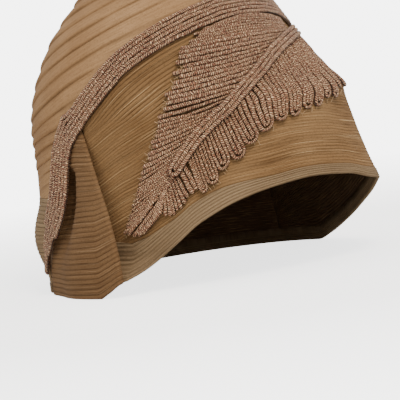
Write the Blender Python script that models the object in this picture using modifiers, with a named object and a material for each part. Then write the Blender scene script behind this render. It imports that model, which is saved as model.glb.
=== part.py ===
"""Cloche hat of tucked and ribbed cloth, with a braided band and a leaf of looped cord."""

import math

import bmesh
import bpy
from mathutils import Vector

# Overall form, in metres. The front of the hat faces -Y and the wearer's right is -X.
HAT_HEIGHT = 0.189
HEAD_LINE = 0.095
HALF_WIDTH = 0.086
FRONT_REACH = 0.101
BACK_REACH = 0.094
DOME_POWER = 1.75
DOME_LEAN = 0.0065
LEAN_TURN = 131.0

# Cloth and cord.
CLOTH_WALL = 0.0016
HEM_WALL = 0.0022
CORD_WALL = 0.0018
CORD_RIDGE = 0.0009
PIECE_GAP = 0.0006
LAY_GAP = 0.0011
SEAM_GAP = 0.0010
EAR_GAP = 0.0014

# Tucks of the crown: pitch, tilt and the step up to a lip in degrees of latitude, lip
# height in metres. The lips rise between two distances above the seam, in braid widths.
TUCK_PITCH = 6.7
TUCK_TILT = 20.0
TUCK_LIP = 0.0013
TUCK_LOWEST = -29.4
TUCK_COUNT = 17
TUCK_STEP = 1.1
TUCK_FADE = 55.0
LIP_STARTS = (0.75, 1.3)

# Edge, seam and hem.
EDGE_RISE = 0.051
SEAM_RISE = 0.150
BACK_SEAM = 0.056
HEM_WIDTH = 0.022
HEM_NARROW = 0.0055
FLOOR_TRIM = 0.0006
BACK_BULGE = 0.0045
BULGE_TURNS = (108, 126)
BULGE_EASES = (140, 170)
BULGE_LOSS = 0.6
BACK_FIXED = 136
BACK_START = 112
LEFT_END = -108.0
LEFT_JOIN = 0.4
FLARE_TURNS = (54, 71)
FLARE_FOOT = 0.003
CUT_REACH = 0.012
CUT_WIDTH = 0.20
CUT_DEPTH = 0.05

# Ear pleat.
PLEAT_DEPTH = 0.014
PLEAT_HEIGHT = 0.095
PLEAT_ROLL = 0.10

# Braid and leaf.
BRAID_WIDTH = 0.0155
BRAID_ROWS = 6
END_BRAID_WIDTH = 0.0150
END_BRAID_RISE = 0.0022
LEAF_ROWS = 26
LOWER_ROWS = 18
MIDRIB_WIDTH = 0.0085
MIDRIB_ROWS = 3

# Turns between which the panel and the hem are fitted under the pleat.
PANEL_FIXED = 64
PANEL_END = 84

COARSE_STEP = 8
FINE_STEP = 4
EAR_TURNS = (56, 116)
LEFT_RISE_END = -76
CROWN_STEP = 10

# Wall of the hat below the head line: columns are height as a share of HEAD_LINE,
# then the front, side and back half-sizes as shares of those at the head line.
SIDE_SECTIONS = (
    (0.00, 1.210, 1.080, 0.965),
    (0.11, 1.218, 1.076, 0.972),
    (0.26, 1.226, 1.070, 0.992),
    (0.42, 1.200, 1.058, 1.008),
    (0.60, 1.120, 1.041, 0.985),
    (0.79, 1.048, 1.018, 0.985),
    (1.00, 1.000, 1.000, 1.000),
)

# Crown above the head line: share of its rise, width as a share of a plain dome's, and
# how far it leans towards LEAN_TURN as a share of DOME_LEAN.
DOME_SECTIONS = (
    (0.00, 1.000, 0.00),
    (0.10, 0.965, 0.40),
    (0.25, 0.925, 0.85),
    (0.45, 0.900, 1.00),
    (0.65, 0.900, 0.75),
    (0.80, 0.930, 0.45),
    (1.00, 0.960, 0.10),
)

# Lower edge: columns are turn in degrees from the front towards the wearer's right,
# and height as a share of EDGE_RISE.
EDGE_LINE = (
    (-180, 0.00),
    (-90, 0.00),
    (-84, 0.08),
    (-75, 0.25),
    (-60, 0.54),
    (-43, 0.76),
    (-21, 0.86),
    (-8, 0.95),
    (10, 1.00),
    (22, 0.97),
    (36, 0.88),
    (49, 0.70),
    (56, 0.53),
    (62, 0.37),
    (67, 0.235),
    (71, 0.15),
    (75, 0.06),
    (79, 0.00),
    (180, 0.00),
)

# Seam between crown and side panel: turn, and height as a share of SEAM_RISE.
SEAM_LINE = (
    (-108, 0.375),
    (-98, 0.510),
    (-88, 0.648),
    (-75, 0.780),
    (-60, 0.873),
    (-40, 0.950),
    (-20, 0.990),
    (0, 1.000),
    (12, 0.996),
    (29, 0.970),
    (40, 0.943),
    (53.5, 0.897),
    (65, 0.838),
    (72, 0.782),
    (79, 0.720),
    (85, 0.664),
    (88, 0.640),
)

# Line behind the ear, where the crown meets the pleat: height as a share of the
# seam's height there, and turn in degrees.
EAR_LINE = (
    (0.00, 118.0),
    (0.14, 117.0),
    (0.22, 114.5),
    (0.30, 111.0),
    (0.39, 107.5),
    (0.48, 104.0),
    (0.58, 100.5),
    (0.68, 98.5),
    (0.78, 97.0),
    (0.87, 95.0),
    (0.95, 92.0),
    (1.00, 88.0),
)

# Hem width as a share of HEM_WIDTH over HEM_NARROW: turn, share.
HEM_LINE = (
    (-180, 0.0),
    (20, 0.0),
    (40, 0.25),
    (55, 0.42),
    (63, 0.62),
    (71, 0.90),
    (77, 1.00),
    (82, 1.00),
    (90, 0.0),
    (180, 0.0),
)

# Front crease of the pleat, and where its return meets the panel: height as a share
# of PLEAT_HEIGHT, turn of the crease, turn of the return, depth as a share of PLEAT_DEPTH.
PLEAT_SECTIONS = (
    (0.00, 70.5, 82.5, 1.00),
    (0.14, 71.0, 82.5, 0.96),
    (0.33, 72.5, 83.0, 0.84),
    (0.51, 74.5, 84.0, 0.66),
    (0.70, 77.5, 85.0, 0.46),
    (0.84, 80.5, 86.0, 0.28),
    (0.93, 83.0, 86.5, 0.12),
    (1.00, 84.5, 86.2, 0.04),
)

# Section across the pleat from crease to ear line: share of the way, share of the depth.
PLEAT_PROFILE = (
    (0.00, 1.00),
    (0.14, 0.94),
    (0.32, 0.74),
    (0.50, 0.46),
    (0.66, 0.20),
    (0.78, 0.12),
    (0.90, PLEAT_ROLL),
    (1.00, 0.00),
)

# Upper half of the leaf: turn and height (share of SEAM_RISE) of a cord's outer end,
# then of its end at the midrib.
LEAF_UPPER = (
    (22, 0.930, -24, 0.922),
    (29, 0.904, -23, 0.895),
    (35, 0.866, -21, 0.871),
    (40, 0.797, -4, 0.827),
    (46, 0.723, 11, 0.759),
    (52, 0.649, 25, 0.678),
    (56, 0.574, 35, 0.624),
    (60, 0.490, 43, 0.551),
    (64, 0.400, 49, 0.485),
    (67, 0.340, 53, 0.430),
    (70, 0.270, 58, 0.360),
    (72, 0.225, 66, 0.270),
)

# Lower half: turn and height at the midrib, then at the scalloped edge.
LEAF_LOWER = (
    (-33, 0.850, -34, 0.630),
    (-28, 0.847, -24, 0.612),
    (-21, 0.837, -14, 0.597),
    (-14, 0.829, -4, 0.573),
    (-2, 0.796, 5, 0.569),
    (12.5, 0.725, 14, 0.545),
    (27, 0.652, 24, 0.491),
    (35, 0.595, 33, 0.439),
    (42, 0.530, 41, 0.370),
    (47, 0.468, 46, 0.345),
)

# Small lobe at the foot of the leaf: turn and height along its inner side, then outer.
LEAF_LOBE = (
    (50.0, 0.445, 47.8, 0.360),
    (52.0, 0.420, 50.5, 0.330),
    (54.0, 0.392, 54.0, 0.295),
    (56.0, 0.362, 57.0, 0.275),
    (58.0, 0.335, 60.0, 0.288),
)

# Braid behind the ear, from the pinch to the lower edge: turn, height and width as a
# share of END_BRAID_WIDTH.
END_BRAID = (
    (87.5, 0.680, 0.60),
    (89.5, 0.645, 0.85),
    (92.0, 0.610, 0.95),
    (94.0, 0.553, 1.00),
    (95.0, 0.485, 1.00),
    (96.0, 0.420, 1.00),
    (97.5, 0.365, 1.00),
    (100.5, 0.308, 0.95),
    (104.0, 0.251, 0.85),
    (108.5, 0.185, 0.65),
    (112.5, 0.105, 0.35),
)

# Midrib: turn and height along its middle.
MIDRIB = (
    (-30, 0.862),
    (-22, 0.852),
    (-15, 0.840),
    (-2.5, 0.807),
    (12, 0.736),
    (26.5, 0.659),
    (35, 0.607),
    (43, 0.539),
    (49, 0.470),
    (53, 0.420),
)

COLOURS = {
    "tucked_cloth": (0.42, 0.31, 0.20, 1.0),
    "ribbed_cloth": (0.27, 0.19, 0.10, 1.0),
    "braided_cord": (0.40, 0.21, 0.12, 1.0),
}


def tableValue(table, key, column=1, keyColumn=0):
    """A smooth value between the rows of a table, with no overshoot."""
    keys = [row[keyColumn] for row in table]
    values = [row[column] for row in table]
    if keys[0] > keys[-1]:
        keys.reverse()
        values.reverse()
    if key <= keys[0]:
        return values[0]
    if key >= keys[-1]:
        return values[-1]
    index = max(i for i in range(len(keys) - 1) if keys[i] <= key)
    slopes = [
        (values[i + 1] - values[i]) / (keys[i + 1] - keys[i])
        for i in range(len(keys) - 1)
    ]

    def tangent(i):
        if i == 0 or i == len(keys) - 1:
            return 0.0
        before, after = slopes[i - 1], slopes[i]
        if before * after <= 0:
            return 0.0
        return 2 * before * after / (before + after)

    width = keys[index + 1] - keys[index]
    t = (key - keys[index]) / width
    square, cube = t * t, t * t * t
    return (
        (2 * cube - 3 * square + 1) * values[index]
        + (cube - 2 * square + t) * width * tangent(index)
        + (3 * square - 2 * cube) * values[index + 1]
        + (cube - square) * width * tangent(index + 1)
    )


def smoothShare(value, low, high):
    share = min(max((value - low) / (high - low), 0.0), 1.0)
    return share * share * (3 - 2 * share)


def latitudeOf(height):
    """Latitude in degrees: -90 on the floor, 0 at the head line and 90 at the top."""
    if height <= HEAD_LINE:
        return 90 * (height / HEAD_LINE - 1)
    share = (height - HEAD_LINE) / (HAT_HEIGHT - HEAD_LINE)
    return math.degrees(math.asin(share ** (DOME_POWER / 2)))


def basePoint(turn, latitude):
    """A point of the inner surface of the hat."""
    lean = 0.0
    if latitude <= 0:
        height = HEAD_LINE * (1 + latitude / 90)
        share = height / HEAD_LINE
        front = FRONT_REACH * tableValue(SIDE_SECTIONS, share, 1)
        side = HALF_WIDTH * tableValue(SIDE_SECTIONS, share, 2)
        back = BACK_REACH * tableValue(SIDE_SECTIONS, share, 3)
    else:
        angle = math.radians(min(latitude, 90))
        reach = max(math.cos(angle), 0.0) ** (2 / DOME_POWER)
        rise = math.sin(angle) ** (2 / DOME_POWER)
        height = HEAD_LINE + (HAT_HEIGHT - HEAD_LINE) * rise
        reach *= tableValue(DOME_SECTIONS, rise, 1)
        lean = DOME_LEAN * tableValue(DOME_SECTIONS, rise, 2)
        front, side, back = FRONT_REACH * reach, HALF_WIDTH * reach, BACK_REACH * reach
    angle = math.radians(turn)
    length = front if math.cos(angle) > 0 else back
    leanWay = math.radians(LEAN_TURN)
    return Vector((
        -side * math.sin(angle) - lean * math.sin(leanWay),
        -length * math.cos(angle) - lean * math.cos(leanWay),
        height - FLOOR_TRIM,
    ))


def surfaceFrame(turn, latitude):
    """Point, outward normal, and the changes per degree of turn and of latitude."""
    step = 0.5
    point = basePoint(turn, latitude)
    alongTurn = (basePoint(turn + step, latitude) - basePoint(turn - step, latitude)) / (2 * step)
    above = min(latitude + step, 89.9)
    below = latitude - step
    alongRise = (basePoint(turn, above) - basePoint(turn, below)) / (above - below)
    normal = alongRise.cross(alongTurn).normalized()
    return point, normal, alongTurn, alongRise


def hatPoint(turn, latitude, lift=0.0):
    point, normal, _, _ = surfaceFrame(turn, latitude)
    return point + normal * lift


def shifted(turn, latitude, sideways):
    """Turn and latitude of the place that lies `sideways` (a vector) away on the surface."""
    _, _, alongTurn, alongRise = surfaceFrame(turn, latitude)
    a, b, c = alongTurn.dot(alongTurn), alongTurn.dot(alongRise), alongRise.dot(alongRise)
    p, q = alongTurn.dot(sideways), alongRise.dot(sideways)
    det = a * c - b * b
    return turn + (p * c - q * b) / det, latitude + (q * a - p * b) / det


def earTurn(height):
    return tableValue(EAR_LINE, height / (SEAM_RISE * SEAM_LINE[-1][1]))


def seamHeight(turn):
    while turn > 180:
        turn -= 360
    while turn < -180:
        turn += 360
    if turn <= LEFT_END:
        return BACK_SEAM
    if turn <= SEAM_LINE[-1][0]:
        return max(SEAM_RISE * tableValue(SEAM_LINE, turn), BACK_SEAM)
    share = tableValue(EAR_LINE, turn, column=0, keyColumn=1)
    return max(SEAM_RISE * SEAM_LINE[-1][1] * share, BACK_SEAM)


def edgeHeight(turn):
    return EDGE_RISE * tableValue(EDGE_LINE, turn)


def hemWidth(turn):
    return HEM_NARROW + (HEM_WIDTH - HEM_NARROW) * tableValue(HEM_LINE, turn)


def hemFlare(turn, height):
    """How far the lower edge bends outwards to meet the foot of the pleat."""
    return PLEAT_DEPTH * smoothShare(turn, *FLARE_TURNS) * (1 - smoothShare(height, FLARE_FOOT, HEM_WIDTH))


def underPleat(turn, height, wall, lift=0.0):
    """Moves turns near the pleat so that a wall ends just short of the pleat's return."""
    if turn <= PANEL_FIXED:
        return turn
    share = min(height / PLEAT_HEIGHT, 1.0)
    crease = tableValue(PLEAT_SECTIONS, share, 1)
    back = tableValue(PLEAT_SECTIONS, share, 2)
    depth = PLEAT_DEPTH * tableValue(PLEAT_SECTIONS, share, 3)
    run = math.radians(back - crease) * BACK_REACH
    slant = math.hypot(run, depth) / run
    under = (lift + wall + PIECE_GAP + CLOTH_WALL * slant) / depth
    limit = max(back - (back - crease) * under, crease - 1.5)
    return PANEL_FIXED + (turn - PANEL_FIXED) / (PANEL_END - PANEL_FIXED) * (limit - PANEL_FIXED)


def columns(start, end):
    """Turn angles from start to end, closer together round the ear and where the left side rises."""
    turns = [start]
    for turn in range(-180, 260, FINE_STEP):
        close = EAR_TURNS[0] <= turn <= EAR_TURNS[1] or LEFT_END < turn <= LEFT_RISE_END
        if start + 2 < turn < end - 2 and (close or turn % COARSE_STEP == 0):
            turns.append(turn)
    turns.append(end)
    return turns


def clearScene():
    for obj in list(bpy.data.objects):
        bpy.data.objects.remove(obj)


def addCollection(name):
    collection = bpy.data.collections.new(name)
    bpy.context.scene.collection.children.link(collection)
    return collection


def addMaterial(name, colour):
    material = bpy.data.materials.new(name)
    material.use_nodes = True
    shader = material.node_tree.nodes["Principled BSDF"]
    shader.inputs["Base Color"].default_value = colour
    shader.inputs["Roughness"].default_value = 0.9
    shader.inputs["Metallic"].default_value = 0.0
    return material


def addSheet(name, grid, material, wall, closedAcross=False, apex=None):
    """An open sheet through a grid of points, thickened outwards with Solidify."""
    sheet = bmesh.new()
    rows = [[sheet.verts.new(point) for point in row] for row in grid]
    width = len(grid[0])
    last = width if closedAcross else width - 1
    for low, high in zip(rows, rows[1:]):
        for i in range(last):
            j = (i + 1) % width
            sheet.faces.new((low[i], high[i], high[j], low[j]))
    if apex is not None:
        top = sheet.verts.new(apex)
        for i in range(last):
            sheet.faces.new((rows[-1][i], top, rows[-1][(i + 1) % width]))
    sheet.normal_update()
    middle = Vector((0, 0, HEAD_LINE / 2))
    outward = sum(
        face.calc_area() * face.normal.dot(face.calc_center_median() - middle)
        for face in sheet.faces
    )
    if outward < 0:
        bmesh.ops.reverse_faces(sheet, faces=sheet.faces)
    mesh = bpy.data.meshes.new(name)
    sheet.to_mesh(mesh)
    sheet.free()
    obj = bpy.data.objects.new(name, mesh)
    hatPieces.objects.link(obj)
    mesh.materials.append(material)
    solidify = obj.modifiers.new("Wall", "SOLIDIFY")
    solidify.thickness = wall
    solidify.offset = 1.0
    return obj


def addRibbon(name, rings, material):
    """A closed strip lofted through like sections, with a cap at each end."""
    strip = bmesh.new()
    loops = [[strip.verts.new(point) for point in ring] for ring in rings]
    count = len(rings[0])
    for before, after in zip(loops, loops[1:]):
        for i in range(count):
            j = (i + 1) % count
            strip.faces.new((before[i], before[j], after[j], after[i]))
    strip.faces.new(list(reversed(loops[0])))
    strip.faces.new(loops[-1])
    bmesh.ops.recalc_face_normals(strip, faces=strip.faces)
    mesh = bpy.data.meshes.new(name)
    strip.to_mesh(mesh)
    strip.free()
    obj = bpy.data.objects.new(name, mesh)
    hatPieces.objects.link(obj)
    mesh.materials.append(material)
    return obj


def crownGrid():
    """Rows along the tucks: a valley under each lip, then the lip itself."""
    turns = range(-180, 180, CROWN_STEP)
    grid = []
    for k in range(TUCK_COUNT):
        for offset, lift in ((0.0, 0.0), (TUCK_STEP, TUCK_LIP)):
            level = TUCK_LOWEST + k * TUCK_PITCH + offset
            fade = min(1.0, (90 - level) / TUCK_FADE)
            row = []
            for turn in turns:
                latitude = level + TUCK_TILT * fade * math.cos(math.radians(turn))
                point, normal, _, _ = surfaceFrame(turn, latitude)
                clear = (point.z - seamHeight(turn)) / BRAID_WIDTH
                row.append(point + normal * (lift * smoothShare(clear, *LIP_STARTS)))
            grid.append(row)
    return grid


def addSeamCutter():
    """What lies below the crown's edge, bounded by a surface square to the cloth."""
    rings = []
    for turn in columns(-180, 180)[:-1]:
        latitude = latitudeOf(seamHeight(turn) + SEAM_GAP / 2)
        point, normal, _, _ = surfaceFrame(turn, latitude)
        inner = point - normal * CUT_REACH
        outer = point + normal * CUT_REACH
        away = Vector((outer.x, outer.y, 0)).normalized()
        core = Vector((inner.x, inner.y, 0)) * 0.3
        rings.append([
            inner,
            outer,
            away * CUT_WIDTH + Vector((0, 0, outer.z)),
            away * CUT_WIDTH + Vector((0, 0, -CUT_DEPTH)),
            core + Vector((0, 0, -CUT_DEPTH)),
            core + Vector((0, 0, inner.z - CUT_REACH)),
        ])
    cutter = bmesh.new()
    loops = [[cutter.verts.new(point) for point in ring] for ring in rings]
    count = len(rings[0])
    for index, before in enumerate(loops):
        after = loops[(index + 1) % len(loops)]
        for i in range(count):
            j = (i + 1) % count
            cutter.faces.new((before[i], before[j], after[j], after[i]))
    bmesh.ops.recalc_face_normals(cutter, faces=cutter.faces)
    mesh = bpy.data.meshes.new("seam_cutter")
    cutter.to_mesh(mesh)
    cutter.free()
    obj = bpy.data.objects.new("seam_cutter", mesh)
    cutters.objects.link(obj)
    obj.hide_render = True
    obj.display_type = "WIRE"
    return obj


def addFloorCutter():
    """A block under the floor: it flattens the edge where the hat rests."""
    bpy.ops.mesh.primitive_cube_add(size=1, location=(0, 0, -CUT_DEPTH / 2))
    obj = bpy.context.object
    obj.name = "floor_cutter"
    obj.scale = (2 * CUT_WIDTH, 2 * CUT_WIDTH, CUT_DEPTH)
    bpy.ops.object.transform_apply(location=True, rotation=True, scale=True)
    for collection in list(obj.users_collection):
        collection.objects.unlink(obj)
    cutters.objects.link(obj)
    obj.hide_render = True
    obj.display_type = "WIRE"
    return obj


def trimAtFloor(obj):
    trim = obj.modifiers.new("Floor", "BOOLEAN")
    trim.operation = "DIFFERENCE"
    trim.solver = "EXACT"
    trim.object = floorCutter


def addCrown(material):
    crown = addSheet(
        "crown", crownGrid(), material, CLOTH_WALL, closedAcross=True, apex=hatPoint(0, 90)
    )
    trim = crown.modifiers.new("Seam", "BOOLEAN")
    trim.operation = "DIFFERENCE"
    trim.solver = "EXACT"
    trim.object = addSeamCutter()


def addPanel(material):
    """Ribbed cloth from the return of the pleat round the front to the left end."""
    rowCount = 7
    grid = []
    for row in range(rowCount + 1):
        share = row / rowCount
        line = []
        for turn in columns(LEFT_END, PANEL_END):
            rough = edgeHeight(turn) + (seamHeight(turn) - edgeHeight(turn)) * share
            turn = underPleat(turn, rough, CLOTH_WALL)
            apart = PIECE_GAP * (1 + 2 * smoothShare(turn, PANEL_FIXED - 8, PANEL_FIXED))
            low = latitudeOf(edgeHeight(turn) + hemWidth(turn) + apart)
            high = latitudeOf(seamHeight(turn) - SEAM_GAP / 2)
            line.append(hatPoint(turn, low + (high - low) * share))
        grid.append(line)
    addSheet("side_panel", grid, material, CLOTH_WALL)


def addEarPleat(material):
    """A fold that stands out over the ear, sharp in front and rolled in behind."""
    rowCount = 9
    grid = []
    for row in range(rowCount + 1):
        share = row / rowCount
        height = PLEAT_HEIGHT * share
        crease = tableValue(PLEAT_SECTIONS, share, 1)
        back = tableValue(PLEAT_SECTIONS, share, 2)
        depth = PLEAT_DEPTH * tableValue(PLEAT_SECTIONS, share, 3)
        rear = earTurn(height) - math.degrees(EAR_GAP / BACK_REACH)
        places = [(back, 0.0), ((back + crease) / 2, 0.5)]
        places += [(crease + (rear - crease) * way, deep) for way, deep in PLEAT_PROFILE]
        line = []
        for turn, deep in places:
            edge = edgeHeight(turn)
            latitude = latitudeOf(edge + (PLEAT_HEIGHT - edge) * share)
            line.append(hatPoint(turn, latitude, depth * deep))
        grid.append(line)
    for line in grid:
        line.reverse()
    trimAtFloor(addSheet("ear_pleat", grid, material, CLOTH_WALL))


def addBackBrim(material):
    """Plain ribbed band from the ear line round the back to the left end."""
    rowCount = 4
    grid = []
    for row in range(rowCount + 1):
        share = row / rowCount
        line = []
        for turn in columns(BACK_START, LEFT_END + 360 - LEFT_JOIN):
            low = HEM_NARROW + PIECE_GAP
            high = BACK_SEAM - SEAM_GAP / 2
            height = low + (high - low) * share
            if turn < BACK_FIXED:
                start = earTurn(height) + math.degrees(PIECE_GAP / BACK_REACH)
                way = (turn - BACK_START) / (BACK_FIXED - BACK_START)
                turn = start + way * (BACK_FIXED - start)
            bulge = BACK_BULGE * math.sin(math.pi * share) ** 2
            bulge *= smoothShare(turn, *BULGE_TURNS) * (1 - BULGE_LOSS * smoothShare(turn, *BULGE_EASES))
            line.append(hatPoint(turn, latitudeOf(height), bulge))
        grid.append(line)
    addSheet("back_brim", grid, material, CLOTH_WALL)


def addHem(material):
    """The turned edge: from behind the pleat's crease round the front and the back."""
    rowCount = 3
    start = EAR_LINE[0][1] - 360 + LEFT_JOIN
    turns = [start] + list(range(-232, -180, COARSE_STEP)) + columns(-180, PANEL_END)
    grid = []
    for row in range(rowCount + 1):
        share = row / rowCount
        line = []
        for turn in turns:
            rough = hemWidth(turn) * share
            reach = hemFlare(PLEAT_SECTIONS[0][1], rough)
            turn = underPleat(turn, rough, HEM_WALL, reach)
            height = edgeHeight(turn) + hemWidth(turn) * share
            line.append(hatPoint(turn, latitudeOf(height), hemFlare(turn, height)))
        grid.append(line)
    trimAtFloor(addSheet("brim_hem", grid, material, HEM_WALL))


def stripRing(turn, latitude, along, width, rows, lift, ridge=CORD_RIDGE):
    """Section of a cord strip: ridged above, flat below."""
    _, normal, _, _ = surfaceFrame(turn, latitude)
    across = normal.cross(along).normalized()
    ring = []
    count = 2 * rows
    for i in range(count + 1):
        offset = width * (i / count - 0.5)
        high = lift + CORD_WALL + (ridge if i % 2 else 0.0)
        ring.append(hatPoint(*shifted(turn, latitude, across * offset), high))
    for i in (count, count // 2, 0):
        offset = width * (i / count - 0.5)
        ring.append(hatPoint(*shifted(turn, latitude, across * offset), lift))
    return ring


def pathRings(path, width, rows, liftOf, widthOf=lambda share: 1.0):
    """Strip sections along a path of (turn, latitude) places."""
    rings = []
    for index, (turn, latitude) in enumerate(path):
        before = path[max(index - 1, 0)]
        after = path[min(index + 1, len(path) - 1)]
        along = basePoint(*after) - basePoint(*before)
        share = index / (len(path) - 1)
        rings.append(
            stripRing(turn, latitude, along, width * widthOf(share), rows, liftOf(share, turn))
        )
    return rings


def addSeamBraid(material):
    """Braid over the seam, from the pinch at the ear to the end of the left side."""
    path = []
    for turn in columns(LEFT_END + 1.5, 82):
        path.append((turn, latitudeOf(seamHeight(turn))))
    lift = CLOTH_WALL + LAY_GAP
    addRibbon("seam_braid", pathRings(path, BRAID_WIDTH, BRAID_ROWS, lambda share, turn: lift), material)


def routePlaces(table, count):
    """Evenly spaced (turn, latitude) places, and shares, along a table of turn and height."""
    keyed = [(index / (len(table) - 1),) + row for index, row in enumerate(table)]
    places = []
    for index in range(count + 1):
        key = index / count
        height = SEAM_RISE * tableValue(keyed, key, 2)
        places.append((tableValue(keyed, key, 1), latitudeOf(height)))
    return places


def addEndBraid(material):
    """The same braid turned down behind the ear, on the rolled rear edge of the pleat."""
    keyed = [(index / (len(END_BRAID) - 1),) + row for index, row in enumerate(END_BRAID)]

    def liftOf(share, turn):
        return CLOTH_WALL + LAY_GAP + END_BRAID_RISE * smoothShare(share, 0.0, 0.6)

    rings = pathRings(
        routePlaces(END_BRAID, 22),
        END_BRAID_WIDTH,
        BRAID_ROWS - 1,
        liftOf,
        lambda share: tableValue(keyed, share, 3),
    )
    addRibbon("end_braid", rings, material)


def addMidrib(material):
    """Three raised cords down the middle of the leaf."""
    lift = CLOTH_WALL + 2 * LAY_GAP + CORD_WALL + CORD_RIDGE
    rings = pathRings(
        routePlaces(MIDRIB, 24),
        MIDRIB_WIDTH,
        MIDRIB_ROWS,
        lambda share, turn: lift,
    )
    addRibbon("leaf_midrib", rings, material)


def addLeafPart(name, table, rows, steps, material, lift, taper=0.0):
    """Ridged sheet of cords, each running from one side of the table to the other."""
    keyed = [(index / (len(table) - 1),) + row for index, row in enumerate(table)]
    grid = []
    for step in range(steps + 1):
        way = step / steps
        line = []
        for i in range(2 * rows + 1):
            key = i / (2 * rows)
            turnA = tableValue(keyed, key, 1)
            heightA = SEAM_RISE * tableValue(keyed, key, 2)
            turnB = tableValue(keyed, key, 3)
            heightB = SEAM_RISE * tableValue(keyed, key, 4)
            turn = turnA + (turnB - turnA) * way
            latitude = latitudeOf(heightA + (heightB - heightA) * way)
            ridge = CORD_RIDGE if i % 2 else 0.0
            line.append(hatPoint(turn, latitude, lift + ridge))
        grid.append(line)
    return addSheet(name, grid, material, CORD_WALL)


def centreOnOrigin():
    """Moves everything so that the middle of the hat stands over the origin."""
    bpy.context.view_layer.update()
    graph = bpy.context.evaluated_depsgraph_get()
    corners = []
    for obj in hatPieces.objects:
        corners += [Vector(corner) for corner in obj.evaluated_get(graph).bound_box]
    middleX = (min(c.x for c in corners) + max(c.x for c in corners)) / 2
    middleY = (min(c.y for c in corners) + max(c.y for c in corners)) / 2
    for obj in list(hatPieces.objects) + list(cutters.objects):
        obj.location = (-middleX, -middleY, 0)


clearScene()
hatPieces = addCollection("cloche_hat")
cutters = addCollection("cutters")
cutters.hide_render = True
tuckedCloth = addMaterial("tucked_cloth", COLOURS["tucked_cloth"])
ribbedCloth = addMaterial("ribbed_cloth", COLOURS["ribbed_cloth"])
braidedCord = addMaterial("braided_cord", COLOURS["braided_cord"])

floorCutter = addFloorCutter()
addCrown(tuckedCloth)
addPanel(ribbedCloth)
addEarPleat(ribbedCloth)
addBackBrim(ribbedCloth)
addHem(ribbedCloth)
addSeamBraid(braidedCord)
onPanel = CLOTH_WALL + LAY_GAP
addLeafPart("leaf_upper_cords", LEAF_UPPER, LEAF_ROWS, 7, braidedCord, onPanel)
addLeafPart("leaf_lower_cords", LEAF_LOWER, LOWER_ROWS, 5, braidedCord, onPanel)
addLeafPart("leaf_lobe", LEAF_LOBE, 5, 3, braidedCord, onPanel)
addEndBraid(braidedCord)
addMidrib(braidedCord)
centreOnOrigin()
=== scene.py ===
# Looks of a cloche hat: tucked crown, ribbed side with an ear pleat, braid and a leaf of cords.

import math

import bpy
import numpy as np
from mathutils import Matrix, Vector


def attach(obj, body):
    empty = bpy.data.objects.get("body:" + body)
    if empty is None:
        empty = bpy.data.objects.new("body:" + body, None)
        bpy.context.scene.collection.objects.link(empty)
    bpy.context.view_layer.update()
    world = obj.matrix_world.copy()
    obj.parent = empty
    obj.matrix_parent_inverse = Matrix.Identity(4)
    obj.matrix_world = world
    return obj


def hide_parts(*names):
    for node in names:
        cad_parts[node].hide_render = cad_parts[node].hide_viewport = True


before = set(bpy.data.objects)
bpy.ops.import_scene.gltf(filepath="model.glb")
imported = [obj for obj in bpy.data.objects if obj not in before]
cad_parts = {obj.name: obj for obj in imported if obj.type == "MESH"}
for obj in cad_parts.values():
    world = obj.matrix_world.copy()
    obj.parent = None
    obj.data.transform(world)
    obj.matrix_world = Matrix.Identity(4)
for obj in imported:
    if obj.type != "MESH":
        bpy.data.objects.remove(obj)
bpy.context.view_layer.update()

# The hat's form, in metres and degrees. Turn runs from the front (-Y) towards the
# wearer's right (-X), and latitude from -90 on the floor to 90 at the top of the crown.
form = {
    "height": 0.189, "headLine": 0.095, "halfWidth": 0.086, "front": 0.101, "back": 0.094,
    "domePower": 1.75, "domeLean": 0.0065, "leanTurn": 131.0, "floorTrim": 0.0006,
    "centre": (0.00502, 0.01073, 0.0),
    "edgeRise": 0.051, "seamRise": 0.150, "backSeam": 0.056, "hemWidth": 0.022,
    "hemNarrow": 0.0055, "backBulge": 0.0045, "leftEnd": -108.0, "pleatDepth": 0.014,
    "pleatHeight": 0.095, "wall": 0.0016, "hemWall": 0.0022, "gap": 0.0006,
    "seamGap": 0.0010, "earGap": 0.0014, "layGap": 0.0005, "braidRise": 0.0018,
    "panelFixed": 64, "panelEnd": 84,
}

# Height as a share of the head line, then front, side and back reach as shares.
sideSections = (
    (0.00, 1.210, 1.080, 0.965), (0.11, 1.218, 1.076, 0.972), (0.26, 1.226, 1.070, 0.992),
    (0.42, 1.200, 1.058, 1.008), (0.60, 1.120, 1.041, 0.985), (0.79, 1.048, 1.018, 0.985),
    (1.00, 1.000, 1.000, 1.000),
)

# Above the head line: share of the rise, width share, lean as a share of domeLean.
domeSections = (
    (0.00, 1.000, 0.00), (0.10, 0.965, 0.40), (0.25, 0.925, 0.85), (0.45, 0.900, 1.00),
    (0.65, 0.900, 0.75), (0.80, 0.930, 0.45), (1.00, 0.960, 0.10),
)

# Lower edge: turn, height as a share of edgeRise.
edgeLine = (
    (-180, 0.00), (-90, 0.00), (-84, 0.08), (-75, 0.25), (-60, 0.54), (-43, 0.76), (-21, 0.86),
    (-8, 0.95), (10, 1.00), (22, 0.97), (36, 0.88), (49, 0.70), (56, 0.53), (62, 0.37),
    (67, 0.235), (71, 0.15), (75, 0.06), (79, 0.00), (180, 0.00),
)

# Seam between crown and side: turn, height as a share of seamRise.
seamLine = (
    (-108, 0.375), (-98, 0.510), (-88, 0.648), (-75, 0.780), (-60, 0.873), (-40, 0.950),
    (-20, 0.990), (0, 1.000), (12, 0.996), (29, 0.970), (40, 0.943), (53.5, 0.897), (65, 0.838),
    (72, 0.782), (79, 0.720), (85, 0.664), (88, 0.640),
)

# Where the crown meets the pleat behind the ear: share of the seam's end height, turn.
earLine = (
    (0.00, 118.0), (0.14, 117.0), (0.22, 114.5), (0.30, 111.0), (0.39, 107.5), (0.48, 104.0),
    (0.58, 100.5), (0.68, 98.5), (0.78, 97.0), (0.87, 95.0), (0.95, 92.0), (1.00, 88.0),
)

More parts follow.
